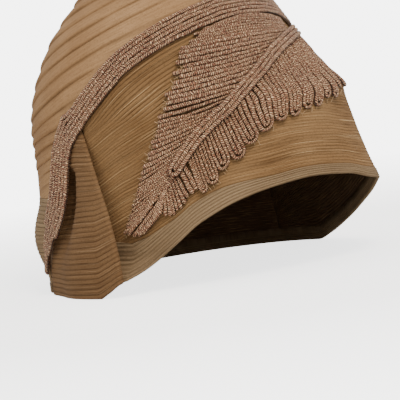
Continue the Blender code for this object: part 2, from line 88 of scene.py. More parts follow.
# Hem: turn, width as a share of hemWidth over hemNarrow.
hemLine = (
    (-180, 0.0), (20, 0.0), (40, 0.25), (55, 0.42), (63, 0.62), (71, 0.90), (77, 1.00), (82, 1.00),
    (90, 0.0), (180, 0.0),
)

# Pleat: share of its height, turn of the crease, turn of the return, share of its depth.
pleatSections = (
    (0.00, 70.5, 82.5, 1.00), (0.14, 71.0, 82.5, 0.96), (0.33, 72.5, 83.0, 0.84),
    (0.51, 74.5, 84.0, 0.66), (0.70, 77.5, 85.0, 0.46), (0.84, 80.5, 86.0, 0.28),
    (0.93, 83.0, 86.5, 0.12), (1.00, 84.5, 86.2, 0.04),
)

# Across the pleat from crease to ear line: share of the way, share of the depth.
pleatProfile = (
    (0.00, 1.00), (0.14, 0.94), (0.32, 0.74), (0.50, 0.46), (0.66, 0.20), (0.78, 0.12),
    (0.90, 0.10), (1.00, 0.00),
)

# Leaf, upper half: turn and height share of a cord's outer end, then of its midrib end.
leafUpper = (
    (22, 0.930, -24, 0.922), (29, 0.904, -23, 0.895), (35, 0.866, -21, 0.871),
    (40, 0.797, -4, 0.827), (46, 0.723, 11, 0.759), (52, 0.649, 25, 0.678), (56, 0.574, 35, 0.624),
    (60, 0.490, 43, 0.551), (64, 0.400, 49, 0.485), (67, 0.340, 53, 0.430), (70, 0.270, 58, 0.360),
    (72, 0.225, 66, 0.270),
)

# Cords side by side at the leaf's tip: turn and height share of each end.
leafTip = (
    (70.8, 0.222, 60.0, 0.345), (69.2, 0.214, 58.5, 0.338), (67.6, 0.213, 58.5, 0.320),
    (66.3, 0.222, 59.0, 0.300), (64.6, 0.240, 57.5, 0.345), (62.6, 0.262, 56.0, 0.372),
    (60.6, 0.298, 54.6, 0.400), (59.0, 0.332, 52.4, 0.430), (57.6, 0.352, 51.0, 0.442),
)

# Leaf, lower half: turn and height share at the midrib, then at the scalloped edge.
leafLower = (
    (-33, 0.850, -34, 0.630), (-28, 0.847, -24, 0.612), (-21, 0.837, -14, 0.597),
    (-14, 0.829, -4, 0.573), (-2, 0.796, 5, 0.569), (12.5, 0.725, 14, 0.545),
    (27, 0.652, 24, 0.491), (35, 0.595, 33, 0.439), (42, 0.530, 41, 0.370), (47, 0.468, 46, 0.345),
)

# Lobe at the foot of the leaf: inner side, then outer side.
leafLobe = (
    (48.8, 0.455, 46.8, 0.356), (52.0, 0.420, 50.5, 0.330), (54.0, 0.392, 54.0, 0.295),
    (56.0, 0.362, 57.0, 0.275), (58.0, 0.335, 60.0, 0.288),
)

# Braid behind the ear: turn, height share, width share.
endBraid = (
    (83.5, 0.678, 1.033), (86.5, 0.652, 1.02), (89.3, 0.628, 1.00), (91.6, 0.595, 1.00),
    (93.6, 0.548, 1.06), (95.0, 0.485, 1.12), (96.0, 0.420, 1.16), (97.5, 0.365, 1.18),
    (100.5, 0.308, 1.18), (104.0, 0.251, 1.12), (108.5, 0.185, 0.92), (112.5, 0.105, 0.55),
    (114.5, 0.070, 0.30),
)

# Midrib of the leaf: turn and height share along its middle.
midrib = (
    (-30, 0.862), (-22, 0.852), (-15, 0.840), (-2.5, 0.807), (12, 0.736), (26.5, 0.659),
    (35, 0.607), (43, 0.539), (49, 0.470), (53, 0.420),
)

random = np.random.default_rng(11)


def tableAt(table, key, column=1, keyColumn=0):
    # A smooth curve through the rows of a table, with no overshoot.
    rows = np.array(sorted(table, key=lambda row: row[keyColumn]), float)
    keys = rows[:, keyColumn]
    values = rows[:, column]
    slopes = np.diff(values) / np.diff(keys)
    product = slopes[:-1] * slopes[1:]
    total = np.where(product > 0, slopes[:-1] + slopes[1:], 1.0)
    tangents = np.zeros(len(keys))
    tangents[1:-1] = np.where(product > 0, 2 * product / total, 0.0)
    key = np.clip(np.asarray(key, float), keys[0], keys[-1])
    i = np.clip(np.searchsorted(keys, key, side="right") - 1, 0, len(keys) - 2)
    width = keys[i + 1] - keys[i]
    t = (key - keys[i]) / width
    rising = (2 * t**3 - 3 * t**2 + 1) * values[i] + (t**3 - 2 * t**2 + t) * width * tangents[i]
    return (
        rising
        + (3 * t**2 - 2 * t**3) * values[i + 1]
        + (t**3 - t**2) * width * tangents[i + 1]
    )


def smoothStep(value, low, high):
    share = np.clip((value - low) / (high - low), 0.0, 1.0)
    return share * share * (3 - 2 * share)


def latitudeOf(height):
    height = np.asarray(height, float)
    share = np.clip((height - form["headLine"]) / (form["height"] - form["headLine"]), 0, 1)
    above = np.degrees(np.arcsin(share ** (form["domePower"] / 2)))
    return np.where(height <= form["headLine"], 90 * (height / form["headLine"] - 1), above)


def basePoint(turn, latitude):
    turn, latitude = np.broadcast_arrays(np.asarray(turn, float), np.asarray(latitude, float))
    low = np.minimum(latitude, 0)
    share = 1 + low / 90
    angle = np.radians(np.clip(latitude, 0, 90))
    reach = np.maximum(np.cos(angle), 0) ** (2 / form["domePower"])
    rise = np.sin(angle) ** (2 / form["domePower"])
    height = form["headLine"] * share + (form["height"] - form["headLine"]) * rise
    way = np.radians(turn)
    long = np.where(
        np.cos(way) > 0,
        form["front"] * tableAt(sideSections, share, 1),
        form["back"] * tableAt(sideSections, share, 3),
    )
    side = form["halfWidth"] * tableAt(sideSections, share, 2)
    above = np.where(latitude > 0, rise, 0)
    reach = reach * tableAt(domeSections, above, 1)
    lean = form["domeLean"] * tableAt(domeSections, above, 2)
    leanWay = math.radians(form["leanTurn"])
    x = -side * reach * np.sin(way) - lean * math.sin(leanWay) + form["centre"][0]
    y = -long * reach * np.cos(way) - lean * math.cos(leanWay) + form["centre"][1]
    return np.stack([x, y, height - form["floorTrim"]], axis=-1)


def surfaceFrame(turn, latitude):
    step = 0.5
    point = basePoint(turn, latitude)
    alongTurn = (basePoint(turn + step, latitude) - basePoint(turn - step, latitude)) / (2 * step)
    above = np.minimum(latitude + step, 89.9)
    below = np.minimum(latitude, 89.9) - step
    rise = (basePoint(turn, above) - basePoint(turn, below)) / (above - below)[..., None]
    normal = np.cross(rise, alongTurn)
    normal /= np.linalg.norm(normal, axis=-1, keepdims=True)
    return point, normal, alongTurn, rise


def hatPoint(turn, latitude, lift=0.0):
    turn, latitude, lift = np.broadcast_arrays(
        np.asarray(turn, float), np.asarray(latitude, float), np.asarray(lift, float)
    )
    point, normal, _, _ = surfaceFrame(turn, latitude)
    return point + normal * lift[..., None]


def shifted(turn, latitude, sideways):
    # Turn and latitude of the place that lies a vector away on the surface.
    _, _, alongTurn, rise = surfaceFrame(turn, latitude)
    a = (alongTurn * alongTurn).sum(-1)
    b = (alongTurn * rise).sum(-1)
    c = (rise * rise).sum(-1)
    p = (alongTurn * sideways).sum(-1)
    q = (rise * sideways).sum(-1)
    det = a * c - b * b
    return turn + (p * c - q * b) / det, latitude + (q * a - p * b) / det


def earTurn(height):
    return tableAt(earLine, height / (form["seamRise"] * seamLine[-1][1]))


def seamHeight(turn):
    turn = (np.asarray(turn, float) + 180) % 360 - 180
    front = form["seamRise"] * tableAt(seamLine, turn)
    ear = form["seamRise"] * seamLine[-1][1] * tableAt(earLine, turn, 0, 1)
    height = np.where(turn <= seamLine[-1][0], front, ear)
    return np.where(turn <= form["leftEnd"], form["backSeam"], np.maximum(height, form["backSeam"]))


def edgeHeight(turn):
    return form["edgeRise"] * tableAt(edgeLine, turn)


def hemWidth(turn):
    return form["hemNarrow"] + (form["hemWidth"] - form["hemNarrow"]) * tableAt(hemLine, turn)


def hemFlare(turn, height):
    return form["pleatDepth"] * smoothStep(turn, 54, 71) * (1 - smoothStep(height, 0.003, 0.022))


def belowReturn(turn, height, wall):
    # How far a wall may be lifted and still pass under the pleat's return.
    share = np.minimum(height / form["pleatHeight"], 1.0)
    crease = tableAt(pleatSections, share, 1)
    back = tableAt(pleatSections, share, 2)
    depth = form["pleatDepth"] * tableAt(pleatSections, share, 3)
    room = depth * (back - turn) / (back - crease) - wall - form["gap"] / 2
    clear = smoothStep(turn, crease - 0.4, crease - 2.6) * form["pleatDepth"]
    return np.maximum(room, -wall) + clear


def tuckedUnder(turn, height, far):
    # Moves turns near the pleat so that a wall ends some degrees under the crease.
    share = np.minimum(height / form["pleatHeight"], 1.0)
    back = tableAt(pleatSections, share, 2) + 0.5
    reach = np.minimum(tableAt(pleatSections, share, 1) + far, back)
    fixed, end = form["panelFixed"], form["panelEnd"]
    return np.where(turn <= fixed, turn, fixed + (turn - fixed) / (end - fixed) * (reach - fixed))


def waves(values, count, low, high):
    # A smooth random wobble between about -1 and 1 along the values.
    total = np.zeros_like(np.asarray(values, float))
    for _ in range(count):
        pace = random.uniform(low, high)
        total = total + np.sin(np.asarray(values) * pace + random.uniform(0, 6.3))
    return total / count


def linear(colour):
    # An sRGB hex colour as the linear values that a shader takes.
    parts = [int(colour[i:i + 2], 16) / 255 for i in (1, 3, 5)]
    return tuple(p / 12.92 if p <= 0.04045 else ((p + 0.055) / 1.055) ** 2.4 for p in parts) + (1.0,)


def addNode(tree, kind, inputs=None, **settings):
    node = tree.nodes.new(kind)
    for name, value in settings.items():
        setattr(node, name, value)
    for name, value in (inputs or {}).items():
        if isinstance(value, bpy.types.NodeSocket):
            tree.links.new(value, node.inputs[name])
        else:
            node.inputs[name].default_value = value
    return node


def addMaterial(name):
    material = bpy.data.materials.new(name)
    material.use_nodes = True
    return material, material.node_tree


def calc(tree, operation, a, b=0.0):
    return addNode(tree, "ShaderNodeMath", {0: a, 1: b}, operation=operation).outputs[0]


def mixColour(tree, factor, a, b, blend="MIX"):
    node = addNode(tree, "ShaderNodeMix", {0: factor, 6: a, 7: b}, data_type="RGBA", blend_type=blend)
    return node.outputs[2]


def rangeOf(tree, value, low, high, newLow=0.0, newHigh=1.0):
    node = addNode(
        tree, "ShaderNodeMapRange", {0: value, 1: low, 2: high, 3: newLow, 4: newHigh}
    )
    return node.outputs[0]


def stained(tree, colour, value, low, high, strength, over):
    # Lays a colour over another where a value is high.
    return mixColour(tree, rangeOf(tree, value, low, high, 0.0, strength), colour, linear(over))


def scaledPattern(tree, coordinate, scale):
    return addNode(tree, "ShaderNodeMapping", {"Vector": coordinate, "Scale": scale}).outputs[0]


def noiseOf(tree, coordinate, scale, detail=2.0, roughness=0.5):
    inputs = {"Vector": coordinate, "Scale": scale, "Detail": detail, "Roughness": roughness}
    return addNode(tree, "ShaderNodeTexNoise", inputs).outputs["Fac"]


def finishMaterial(material, colour, roughness, specular=0.5, bump=None):
    # The bump is a height, a strength and the real height of the relief in metres.
    tree = material.node_tree
    shader = tree.nodes["Principled BSDF"]
    tree.links.new(colour, shader.inputs["Base Color"])
    shader.inputs["Roughness"].default_value = roughness
    shader.inputs["Specular IOR Level"].default_value = specular
    if bump:
        inputs = {"Height": bump[0], "Strength": bump[1], "Distance": bump[2]}
        tree.links.new(addNode(tree, "ShaderNodeBump", inputs).outputs[0], shader.inputs["Normal"])
    return material


def uvParts(tree):
    # The UV map holds metres along the cloth in U and ribs, tucks or turns in V.
    uv = addNode(tree, "ShaderNodeUVMap", uv_map="UVMap").outputs[0]
    parts = addNode(tree, "ShaderNodeSeparateXYZ", {0: uv})
    return uv, parts.outputs[0], parts.outputs[1]


crownLook = {"cloth": "#9b7650", "light": "#b38d64", "dark": "#785838", "fold": "#543a20",
             "stain": "#6e431a", "stainPlace": (-0.030, -0.030, 0.176), "stainSize": 0.011,
             "stainFade": 0.004, "stainRagged": 0.008, "thread": 0.0006, "threadsInTuck": 9.0}


def tuckedClothMaterial():
    # Fine plain-woven silk, tucked: a soft matt face, each tuck catching light on its lip, with
    # painted shade darkening the fold under it, and a little brown water stain.
    material, tree = addMaterial("tucked_silk_cloth")
    uv, _, tucks = uvParts(tree)
    place = addNode(tree, "ShaderNodeTexCoord").outputs["Object"]
    patches = noiseOf(tree, place, 22.0, 3.0)
    streaks = noiseOf(tree, scaledPattern(tree, uv, (40.0, 9.0, 1.0)), 1.0, 3.0, 0.6)
    colour = mixColour(tree, rangeOf(tree, patches, 0.35, 0.7), linear(crownLook["cloth"]),
                       linear(crownLook["light"]))
    colour = stained(tree, colour, streaks, 0.42, 0.75, 0.55, crownLook["dark"])
    # Painted shade: the colour darkens in the fold under each tuck's lip, broken up by noise.
    phase = calc(tree, "FRACT", tucks)
    fold = calc(tree, "MAXIMUM", rangeOf(tree, phase, 0.10, 0.0), rangeOf(tree, phase, 0.80, 1.0))
    broken = noiseOf(tree, scaledPattern(tree, uv, (25.0, 0.8, 1.0)), 1.0)
    fold = calc(tree, "MULTIPLY", fold, rangeOf(tree, broken, 0.3, 0.65, 0.05, 0.6))
    colour = mixColour(tree, fold, colour, linear(crownLook["fold"]))
    inputs = {0: place, 1: crownLook["stainPlace"]}
    away = addNode(tree, "ShaderNodeVectorMath", inputs, operation="DISTANCE").outputs["Value"]
    ragged = calc(tree, "MULTIPLY", noiseOf(tree, place, 160.0, 3.0), crownLook["stainRagged"])
    ragged = calc(tree, "ADD", away, ragged)
    inner, outer = crownLook["stainSize"], crownLook["stainSize"] + crownLook["stainFade"]
    colour = stained(tree, colour, ragged, outer, inner, 0.55, crownLook["stain"])
    fine = noiseOf(tree, place, 900.0, 2.0, 0.7)
    colour = stained(tree, colour, fine, 0.5, 0.75, 0.4, crownLook["fold"])
    weave = weaveHeight(tree, uv, crownLook["thread"], crownLook["threadsInTuck"])
    return finishMaterial(material, colour, 0.85, 0.2, (weave, 0.30, 0.0003))


def weaveHeight(tree, uv, thread, across):
    # Plain weave, drawn coarser than real silk so that a render can hold it.
    parts = addNode(tree, "ShaderNodeSeparateXYZ", {0: uv})
    warp = calc(tree, "SINE", calc(tree, "MULTIPLY", parts.outputs[0], math.tau / (2 * thread)))
    weft = calc(tree, "SINE", calc(tree, "MULTIPLY", parts.outputs[1], math.tau * across))
    return calc(tree, "MULTIPLY", warp, weft)


panelLook = {"cloth": "#84613c", "light": "#a28058", "dark": "#573b20", "groove": "#2e1b0b",
             "slub": "#ceac7e", "grooveShade": 1.0}
# The pleat is the side panel's cloth painted darker: painted shade for the pleat, which faces away
# from the light.
shadedPleatLook = {"cloth": "#755638", "light": "#8e6e4c", "dark": "#573c24", "groove": "#352213",
             "slub": "#a08260", "grooveShade": 0.60}
hemLook = {"cloth": "#8a7052", "light": "#a98f6e", "dark": "#66513a", "groove": "#3a2b18",
           "slub": "#b49a76", "grooveShade": 0.55}
# The back of the cloth: its own duller brown, darkened further as painted shade for the inside of the
# hat.
reverseLook = {"cloth": "#563d24", "frayed": "#8e7048"}


def ribbedClothMaterial(name, look):
    # Silk cloth woven with thick and thin weft threads: the ribs run with the edge, each a slightly
    # different tone, with pale slubs and painted shade in the grooves between the ribs.
    material, tree = addMaterial(name)
    uv, _, ribs = uvParts(tree)
    perRib = noiseOf(tree, scaledPattern(tree, uv, (7.0, 1.7, 1.0)), 1.0, 2.0, 0.6)
    threads = noiseOf(tree, scaledPattern(tree, uv, (45.0, 9.0, 1.0)), 1.0, 3.0, 0.7)
    slubs = noiseOf(tree, scaledPattern(tree, uv, (16.0, 4.6, 1.0)), 1.0, 1.0, 0.5)
    broad = noiseOf(tree, addNode(tree, "ShaderNodeTexCoord").outputs["Object"], 18.0, 2.0)
    colour = mixColour(tree, rangeOf(tree, perRib, 0.32, 0.68), linear(look["dark"]),
                       linear(look["cloth"]))
    colour = stained(tree, colour, broad, 0.4, 0.75, 0.6, look["light"])
    colour = stained(tree, colour, threads, 0.35, 0.7, 0.6, look["light"])
    # Painted shade: the colour darkens in the groove between ribs, by an amount set in each look and
    # broken by noise.
    phase = calc(tree, "ABSOLUTE", calc(tree, "SUBTRACT", calc(tree, "FRACT", ribs), 0.5))
    groove = rangeOf(tree, phase, 0.16, 0.48, 0.0, look["grooveShade"])
    uneven = rangeOf(tree, threads, 0.3, 0.7, 1.0, 0.45)
    colour = mixColour(tree, calc(tree, "MULTIPLY", groove, uneven), colour, linear(look["groove"]))
    colour = stained(tree, colour, slubs, 0.62, 0.70, 0.6, look["slub"])
    fine = noiseOf(tree, scaledPattern(tree, uv, (700.0, 6.0, 1.0)), 1.0, 2.0, 0.6)
    colour = stained(tree, colour, fine, 0.5, 0.75, 0.5, look["groove"])
    height = calc(tree, "ADD", calc(tree, "MULTIPLY", fine, 0.7), threads)
    return finishMaterial(material, colour, 0.85, 0.15, (height, 0.7, 0.0006))


def reverseMaterial():
    # The back of the cloth: darker, partly its own duller brown and partly painted shade for the
    # inside of the hat, with pale frayed threads along the weft.
    material, tree = addMaterial("reverse_of_cloth")
    uv, _, _ = uvParts(tree)
    frayed = noiseOf(tree, scaledPattern(tree, uv, (60.0, 5.0, 1.0)), 1.0, 3.0, 0.7)
    colour = mixColour(tree, rangeOf(tree, frayed, 0.52, 0.7), linear(reverseLook["cloth"]),
                       linear(reverseLook["frayed"]))
    return finishMaterial(material, colour, 0.9, bump=(frayed, 0.6, 0.0006))


cordLook = {"cord": "#b67a57", "light": "#ffdaac", "dark": "#240e06", "red": "#94543b",
            "wrap": 0.00110, "slant": 2.0}


def cordMaterial():
    # Artificial-silk cord: fine threads wrapped on the slant round a core, pinkish brown, with
    # painted highlights on the crests, painted shade between the wraps and on each cord's sides.
    material, tree = addMaterial("wrapped_silk_cord")
    uv, along, around = uvParts(tree)
    turnsAlong = calc(tree, "MULTIPLY", along, 1 / cordLook["wrap"])
    wobble = noiseOf(tree, scaledPattern(tree, uv, (500.0, 3.0, 1.0)), 1.0, 2.0)
    slanted = calc(tree, "ADD", turnsAlong, calc(tree, "MULTIPLY", around, cordLook["slant"]))
    slanted = calc(tree, "ADD", slanted, calc(tree, "MULTIPLY", wobble, 2.2))
    crest = calc(tree, "ABSOLUTE", calc(tree, "SUBTRACT", calc(tree, "FRACT", slanted), 0.5))
    crest = rangeOf(tree, crest, 0.5, 0.05)
    specks = noiseOf(tree, scaledPattern(tree, uv, (900.0, 5.0, 1.0)), 1.0, 2.0, 0.7)
    place = addNode(tree, "ShaderNodeTexCoord").outputs["Object"]
    broad = noiseOf(tree, place, 60.0, 2.0)
    colour = mixColour(tree, rangeOf(tree, broad, 0.4, 0.65, 0.0, 0.7), linear(cordLook["cord"]),
                       linear(cordLook["red"]))
    # Painted shade between the wraps, then painted highlights in pale specks on their crests.
    colour = mixColour(tree, rangeOf(tree, crest, 0.1, 0.6, 0.95, 0.0), colour,
                       linear(cordLook["dark"]))
    glint = calc(tree, "MULTIPLY", rangeOf(tree, crest, 0.5, 0.9), rangeOf(tree, specks, 0.40, 0.57))
    colour = mixColour(tree, glint, colour, linear(cordLook["light"]))
    # Painted shade: each cord darkens towards its sides, where it meets the cords beside it.
    top = calc(tree, "ABSOLUTE", calc(tree, "SINE", calc(tree, "MULTIPLY", around, math.tau)))
    colour = mixColour(tree, rangeOf(tree, top, 0.15, 0.75, 0.85, 0.0), colour,
                       linear(cordLook["dark"]))
    height = calc(tree, "ADD", crest, calc(tree, "MULTIPLY", specks, 0.4))
    return finishMaterial(material, colour, 0.5, bump=(height, 1.0, 0.0009))


def threadMaterial():
    # A bare silk thread: pale and a little shiny, darker where it is soiled.
    material, tree = addMaterial("loose_silk_thread")
    place = addNode(tree, "ShaderNodeTexCoord").outputs["Object"]
    soiled = noiseOf(tree, place, 300.0, 2.0)
    colour = mixColour(tree, soiled, linear(threads["pale"]), linear(threads["soiled"]))
    return finishMaterial(material, colour, 0.55)


def meshPiece(name, points, faces, uvs, materials):
    # A mesh with a UV for each point, whose points that lie together are joined.
    mesh = bpy.data.meshes.new(name)
    mesh.from_pydata(points.tolist(), [], faces)
    layer = mesh.uv_layers.new(name="UVMap")
    corners = np.zeros(len(mesh.loops), np.int32)
    mesh.loops.foreach_get("vertex_index", corners)
    layer.data.foreach_set("uv", uvs[corners].astype(np.float32).ravel())
    for material in materials:
        mesh.materials.append(material)
    obj = bpy.data.objects.new(name, mesh)
    bpy.context.scene.collection.objects.link(obj)
    weld = obj.modifiers.new("Weld", "WELD")
    weld.merge_threshold = 0.00002
    return obj


def clothObject(name, grid, uvs, materials, thick, closed=False, apex=None):
    # A sheet through a grid of points, thickened outwards; the second material is its back.
    rows, width = grid.shape[:2]
    index = np.arange(rows * width).reshape(rows, width)
    if closed:
        index = np.concatenate([index, index[:, :1]], axis=1)
    quads = np.stack([index[:-1, :-1], index[1:, :-1], index[1:, 1:], index[:-1, 1:]], axis=-1)
    quads = quads.reshape(-1, 4)
    points = grid.reshape(-1, 3)
    uvs = uvs.reshape(-1, 2)
    spread = np.linalg.norm(points[quads[:, 0]] - points[quads[:, 1]], axis=1)
    other = np.linalg.norm(points[quads[:, 3]] - points[quads[:, 2]], axis=1)
    quads = quads[(spread > 1e-5) | (other > 1e-5)]
    if apex is not None:
        points = np.vstack([points, apex])
        uvs = np.vstack([uvs, uvs[index[-1, 0]]])
    corner = points[quads]
    flat = np.cross(corner[:, 2] - corner[:, 0], corner[:, 3] - corner[:, 1])
    inside = np.array([form["centre"][0], form["centre"][1], form["headLine"] / 2])
    faces = quads.tolist()
    if apex is not None:
        top = len(points) - 1
        faces += [[int(index[-1, i]), top, int(index[-1, i + 1])] for i in range(index.shape[1] - 1)]
    if (flat * (corner.mean(axis=1) - inside)).sum() < 0:
        faces = [face[::-1] for face in faces]
    obj = meshPiece(name, points, faces, uvs, materials)
    solidify = obj.modifiers.new("Cloth", "SOLIDIFY")
    solidify.thickness = thick
    solidify.offset = 1.0
    solidify.material_offset = len(materials) - 1
    solidify.material_offset_rim = 0
    return obj


def lengthsAlong(grid):
    # Metres along each row of a grid of points.
    steps = np.linalg.norm(np.diff(grid, axis=1), axis=2)
    return np.concatenate([np.zeros((len(grid), 1)), np.cumsum(steps, axis=1)], axis=1)


def settle(obj, slot, *nodes):
    # Applies the modifiers, rides the piece on the hat and puts it in the place of its nodes.
    bpy.context.view_layer.update()
    graph = bpy.context.evaluated_depsgraph_get()
    mesh = bpy.data.meshes.new_from_object(obj.evaluated_get(graph))
    obj.modifiers.clear()
    obj.data = mesh
    mesh.shade_smooth()
    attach(obj, "root")
    if nodes:
        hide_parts(*nodes)
    return obj


crown = {"lowest": -29.4, "pitch": 6.7, "count": 17, "tilt": 20.0, "lip": 0.0010,
         "columnStep": 1.5, "thick": 0.0008, "wander": 0.8, "topLevels": (85.3, 87.0, 88.6)}
# Across one tuck: share of the pitch, share of the lip's height.
tuckProfile = (
    (0.00, 0.00), (0.03, 0.50), (0.07, 0.85), (0.13, 1.00), (0.21, 0.96), (0.34, 0.78),
    (0.50, 0.55), (0.68, 0.30), (0.86, 0.08),
)


def makeCrown(cloth, reverse):
    turns = np.arange(-180, 180, crown["columnStep"])
    start = latitudeOf(seamHeight(turns) + form["seamGap"] / 2)
    levels = []
    for k in range(crown["count"]):
        wander = crown["wander"] * waves(np.radians(turns), 4, 1, 7)
        # Closes the wobble where the first and last columns meet.
        wander = wander * np.sin(np.radians(turns + 180) / 2) ** 0.3
        strength = 1 + 0.25 * waves(np.radians(turns), 3, 2, 9)
        for share, lift in tuckProfile:
            fade = max(0.0, min(1.0, (90 - (crown["lowest"] + (k + share) * crown["pitch"])) / 55))
            levels.append((k + share, fade, wander * fade, lift * strength))
    for level in crown["topLevels"]:
        share = (level - crown["lowest"]) / crown["pitch"]
        levels.append((share, (90 - level) / 55, np.zeros_like(turns), np.zeros_like(turns)))
    grid = []
    uvs = []
    for share, fade, wander, lift in levels:
        level = crown["lowest"] + share * crown["pitch"]
        latitude = level + wander + crown["tilt"] * fade * np.cos(np.radians(turns))
        latitude = np.maximum(latitude, start) if grid else start
        clear = (basePoint(turns, latitude)[:, 2] - seamHeight(turns)) / braid["width"]
        lift = lift * smoothStep(clear, 0.75, 1.3) * crown["lip"]
        row = hatPoint(turns, latitude, form["wall"] - crown["thick"] + lift)
        grid.append(row)
        uvs.append(np.stack([np.radians(turns) * 0.09, np.full(len(turns), share)], axis=-1))
    apex = basePoint(0.0, 90.0) + np.array([0.0, 0.0, form["wall"] - crown["thick"]])
    obj = clothObject("crown_cloth", np.array(grid), np.array(uvs), [cloth, reverse],
                      crown["thick"], closed=True, apex=apex)
    return settle(obj, "tucked_cloth", "crown")


ribs = {"depth": 0.00055, "rows": 6, "thick": 0.0009, "panel": 48, "pleat": 34, "back": 21,
        "hem": 5, "turnedUp": 0.0035, "panelTucked": 12.0, "hemTucked": 11.0, "under": 1.4}
# The hollow beside the braid: where each side starts to sink and where it is deepest, across
# the pleat and up it.
hollow = {"depth": 0.0075, "front": (0.42, 0.68), "rear": (1.0, 0.85), "foot": (0.15, 0.50),
          "top": (0.79, 0.71)}


def ribLift(v):
    return ribs["depth"] * (np.abs(np.sin(math.pi * v)) ** 0.7 - 0.5)


def makePanel(cloth, reverse):
    share = np.linspace(0, 1, ribs["panel"] * ribs["rows"] + 1)[:, None]
    turn = np.linspace(form["leftEnd"], form["panelEnd"], 154)[None, :]
    rough = edgeHeight(turn) + (seamHeight(turn) - edgeHeight(turn)) * share
    turn = tuckedUnder(turn, rough, ribs["panelTucked"])
    low = latitudeOf(edgeHeight(turn) + hemWidth(turn) + form["gap"] / 2)
    high = latitudeOf(seamHeight(turn) - form["seamGap"] / 2)
    v = share * ribs["panel"] + 0 * turn
    v = v + 0.18 * np.sin(turn * 0.11 + share * 9) * np.sin(math.pi * share)
    latitude = low + (high - low) * share
    sway = 0.0005 * np.sin(turn * 0.16 + share * 5) * np.sin(math.pi * share)
    lift = form["wall"] - ribs["thick"] + ribLift(v) + sway
    lift = np.minimum(lift, belowReturn(turn, basePoint(turn, latitude)[..., 2], ribs["thick"]))
    grid = hatPoint(turn, latitude, lift)
    uvs = np.stack([lengthsAlong(grid), v], axis=-1)
    obj = clothObject("side_panel_cloth", grid, uvs, [cloth, reverse], ribs["thick"])
    return settle(obj, "ribbed_cloth", "side_panel")


def makePleat(cloth, reverse):
    share = np.linspace(0, 1, ribs["pleat"] * ribs["rows"] + 1)[:, None]
    crease = tableAt(pleatSections, share, 1)
    back = tableAt(pleatSections, share, 2)
    depth = form["pleatDepth"] * tableAt(pleatSections, share, 3)
    rear = earTurn(form["pleatHeight"] * share) - math.degrees(form["earGap"] / form["back"])
    fold = np.linspace(0, 1, 9)[None, :-1]
    way = np.linspace(0, 1, 40)[None, :]
    inside = np.array([ribs["under"], 2 * ribs["under"]])[None, :]
    turn = np.concatenate([
        back + (crease - back) * fold, crease + (rear - crease) * way, rear + inside,
    ], axis=1)
    deep = np.concatenate([fold, tableAt(pleatProfile, way), 0 * inside], axis=1)
    edge = edgeHeight(turn) + 0 * share
    # The return ends no lower than the crease does, so that it stays hidden behind the pleat.
    edge[:, :fold.shape[1]] = edgeHeight(pleatSections[0][1])
    latitude = latitudeOf(edge + (form["pleatHeight"] - edge) * share)
    v = share * ribs["pleat"] + 0 * turn
    v = v + 0.25 * np.sin(deep * 3 + share * 4)
    near = smoothStep(np.abs(way - 0.5) * 2, 1.0, 0.8)
    near = np.concatenate([0 * fold, near, 0 * inside], axis=1)
    sunk = smoothStep(way, *hollow["front"]) * smoothStep(way, *hollow["rear"])
    sunk = sunk * smoothStep(share, *hollow["foot"]) * smoothStep(share, *hollow["top"])
    sunk = sunk * hollow["depth"]
    lift = depth * deep + form["wall"] - ribs["thick"] + ribLift(v) * near
    lift[:, -2:] = -ribs["thick"]
    lift[:, fold.shape[1]:-2] -= sunk
    grid = hatPoint(turn, latitude, lift)
    grid[..., 2] = np.maximum(grid[..., 2], 0.0)
    uvs = np.stack([lengthsAlong(grid), v], axis=-1)
    obj = clothObject("ear_pleat_cloth", grid[:, ::-1], uvs[:, ::-1], [cloth, reverse], ribs["thick"])
    return settle(obj, "ribbed_cloth", "ear_pleat")


def makeBackBrim(cloth, reverse):
    share = np.linspace(0, 1, ribs["back"] * ribs["rows"] + 1)[:, None]
    turn = np.linspace(112, form["leftEnd"] + 360 - 0.03, 112)[None, :]
    low = form["hemNarrow"] + form["gap"] / 2
    high = form["backSeam"] + form["seamGap"] / 4
    height = low + (high - low) * share + 0 * turn
    start = earTurn(height) + math.degrees(form["gap"] / form["back"])
    turn = np.where(turn < 136, start + (turn - 112) / 24 * (136 - start), turn)
    bulge = form["backBulge"] * np.sin(math.pi * share) ** 2
    ahead = (1 - 0.6 * smoothStep(turn, 140, 170)) * smoothStep(turn, 108, 126)
    ahead = ahead * smoothStep(turn, form["leftEnd"] + 360, 236)
    v = share * ribs["back"] + 0 * turn
    lift = bulge * ahead + form["wall"] - ribs["thick"] + ribLift(v)
    grid = hatPoint(turn, latitudeOf(height), lift)
    uvs = np.stack([lengthsAlong(grid), v], axis=-1)
    obj = clothObject("back_brim_cloth", grid, uvs, [cloth, reverse], ribs["thick"])
    return settle(obj, "ribbed_cloth", "back_brim")


